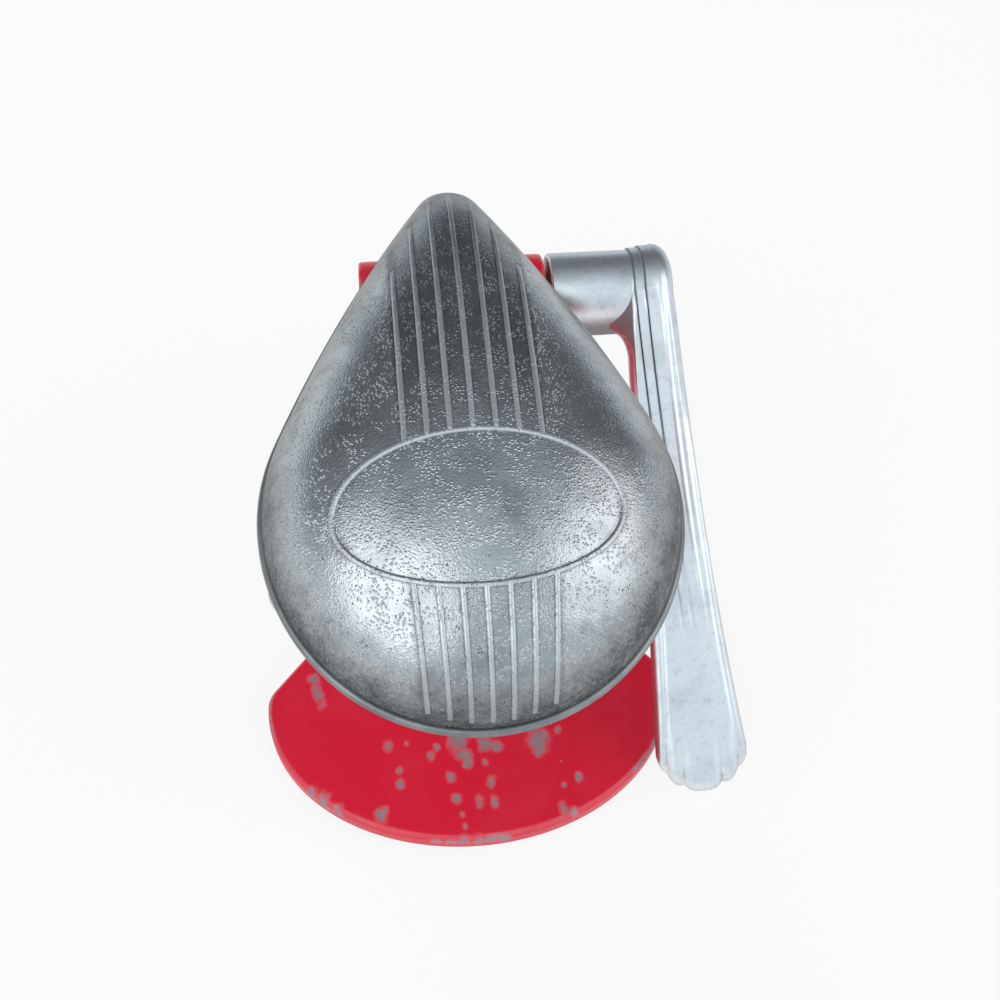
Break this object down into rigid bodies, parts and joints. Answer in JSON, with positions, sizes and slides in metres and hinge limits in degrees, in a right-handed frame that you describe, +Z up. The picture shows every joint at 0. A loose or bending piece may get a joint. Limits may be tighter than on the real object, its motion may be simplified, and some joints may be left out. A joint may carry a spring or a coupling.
{
  "type": "countertop lever citrus press",
  "caption": "Countertop citrus press with a teardrop tilting top, side lever, rack drive, red cast stand, juice bowl, strainer and reamer.",
  "frame": {"origin": "on the counter under the bowl's axis, in the middle plane", "axes": "+Z up, -Y towards the user and the round front of the top, +X towards the lever"},
  "size_m": [0.179, 0.1873, 0.1792],
  "materials": {
    "red_enamel": "gloss enamel over cast metal, chipped with age",
    "pad": "matte",
    "bright_cast": "polished casting, pitted and tarnished",
    "satin_cast": "satin",
    "sheet": "spun sheet, satin",
    "cone": "cast, satin",
    "steel": "machined",
    "dark_steel": "blackened",
    "bronze": "turned"
  },
  "bodies": {
    "stand": {"base_plate": "red_enamel", "base_pad": "pad", "column": "red_enamel", "column_screws": "dark_steel", "ear_bush_left": "bronze", "ear_bush_right": "bronze", "bowl_ring": "red_enamel", "ring_screws": "dark_steel", "rack_guide": "steel", "guide_screws": "dark_steel", "juice_bowl": "sheet", "strainer_basket": "sheet", "reamer_cone": "cone"},
    "lever": {"lever_handle": "satin_cast", "cross_shaft": "steel", "drive_pinion": "steel", "pinion_pin": "dark_steel", "shaft_collar": "steel", "hub_screw": "dark_steel"},
    "carriage": {"rack_bar": "steel"},
    "lid": {"lid_shell": "bright_cast", "lid_hinge_pin": "steel", "press_cup": "sheet", "press_stud": "steel", "press_washer": "steel", "press_nut": "steel"}
  },
  "joints": [
    {"name": "lever_swing", "type": "hinge", "parent": "stand", "child": "lever", "pos_m": [0, 0.09704, 0.12429], "axis": [-1, 0, 0], "range_deg": [0, 150]},
    {"name": "rack_lift", "type": "slide", "parent": "stand", "child": "carriage", "axis": [0, -0.2588, 0.9659], "range_m": [0, 0.03142]},
    {"name": "lid_tilt", "type": "hinge", "parent": "carriage", "child": "lid", "pos_m": [0, 0.08905, 0.15797], "axis": [-1, 0, 0], "range_deg": [0, 58]}
  ],
  "couplings": [
    {"joint": "rack_lift", "follows": "lever_swing", "m_per_rad": 0.012}
  ]
}
